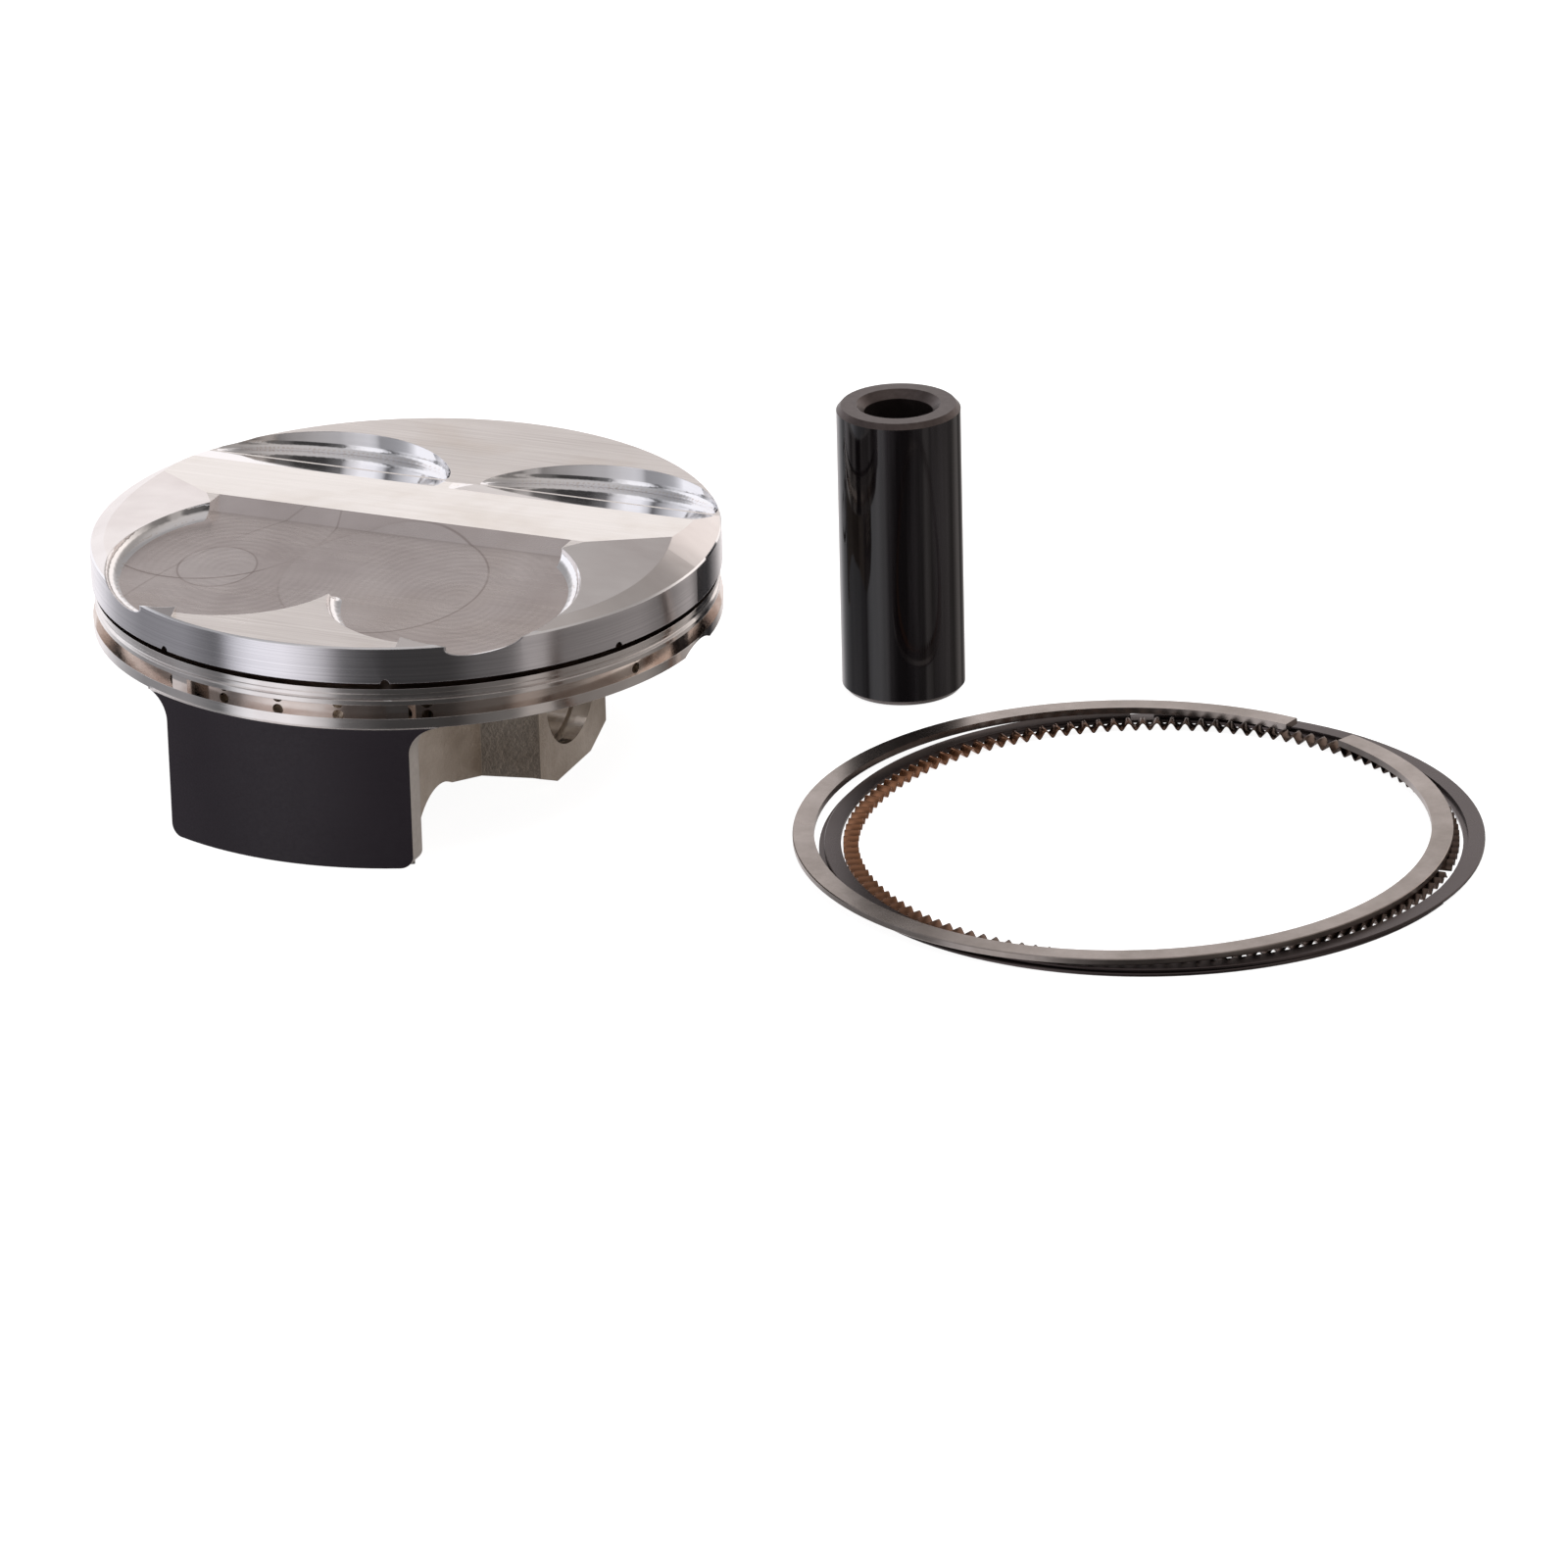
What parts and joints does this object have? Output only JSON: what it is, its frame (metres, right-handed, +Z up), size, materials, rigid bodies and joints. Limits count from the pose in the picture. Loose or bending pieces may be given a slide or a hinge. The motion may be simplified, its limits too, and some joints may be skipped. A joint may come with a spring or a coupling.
{
  "type": "motorcycle piston kit",
  "caption": "Forged slipper-skirt motorcycle piston with domed crown and valve pockets, set out with its wrist pin, compression ring, oil ring pack and circlips.",
  "frame": {"origin": "centre of the pin bore, on the piston's axis", "axes": "+X along the pin bore towards the wrist pin and ring pack, +Z up towards the crown, -Y towards the exhaust-pocket side of the crown"},
  "size_m": [0.2182, 0.1204, 0.046],
  "materials": {
    "forged_aluminium": "milled and turned crown and ring belt, black dry-film coated skirts, shot-blasted panels and bosses",
    "coated_steel": "glossy black hard coating on ground steel, satin chamfers",
    "ring_steel": "lapped satin steel",
    "rail_steel": "dark satin steel",
    "expander_steel": "heat-tinted brown stainless strip",
    "spring_wire": "dark drawn spring wire"
  },
  "bodies": {
    "piston": {"piston_body": "forged_aluminium"},
    "pin": {"wrist_pin": "coated_steel"},
    "lower_rail": {"oil_rail_lower": "rail_steel"},
    "expander": {"oil_expander": "expander_steel"},
    "upper_rail": {"oil_rail_upper": "rail_steel"},
    "top_ring": {"compression_ring": "ring_steel"},
    "left_clip": {"circlip_left": "spring_wire"},
    "right_clip": {"circlip_right": "spring_wire"}
  },
  "joints": [
    {"name": "wrist_pin_lift", "type": "slide", "parent": "piston", "child": "pin", "axis": [0, 0, 1], "range_m": [0, 0.06]},
    {"name": "oil_rail_lower_lift", "type": "slide", "parent": "piston", "child": "lower_rail", "axis": [0, 0, 1], "range_m": [0, 0.06]},
    {"name": "oil_rail_upper_lift", "type": "slide", "parent": "lower_rail", "child": "upper_rail", "axis": [0, 0, 1], "range_m": [0, 0.03]},
    {"name": "oil_expander_lift", "type": "slide", "parent": "upper_rail", "child": "expander", "axis": [0, 0, 1], "range_m": [0, 0.03]},
    {"name": "compression_ring_lift", "type": "slide", "parent": "expander", "child": "top_ring", "axis": [0, 0, 1], "range_m": [0, 0.03]},
    {"name": "circlip_left_lift", "type": "slide", "parent": "piston", "child": "left_clip", "axis": [0, 0, 1], "range_m": [0, 0.06]},
    {"name": "circlip_right_lift", "type": "slide", "parent": "piston", "child": "right_clip", "axis": [0, 0, 1], "range_m": [0, 0.06]}
  ]
}
